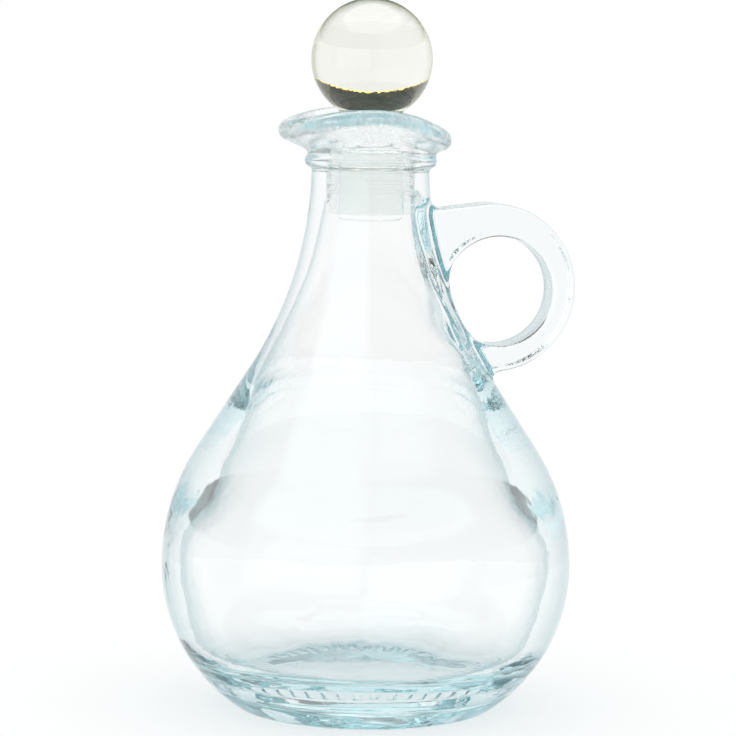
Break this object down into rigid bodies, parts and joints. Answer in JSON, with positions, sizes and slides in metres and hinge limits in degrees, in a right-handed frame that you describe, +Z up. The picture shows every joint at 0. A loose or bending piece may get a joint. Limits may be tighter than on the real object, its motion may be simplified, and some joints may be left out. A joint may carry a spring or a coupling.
{
  "type": "oil and vinegar cruet",
  "caption": "Pear-shaped clear glass cruet with a ring handle, waved pouring lip and a glass ball stopper in a soft sleeve.",
  "frame": {"origin": "centre of the bottle's axis on the plane it stands on", "axes": "+Z up along the bottle's axis, +X towards the ring handle, -X towards the pouring side of the lip"},
  "size_m": [0.0954, 0.0954, 0.1644],
  "materials": {
    "bottle_glass": "clear, faintly aqua",
    "stopper_glass": "clear, faintly olive",
    "sleeve_plastic": "clear, soft"
  },
  "bodies": {
    "root": {"bottle": "bottle_glass", "stopper": "stopper_glass", "sleeve": "sleeve_plastic"}
  },
  "joints": []
}
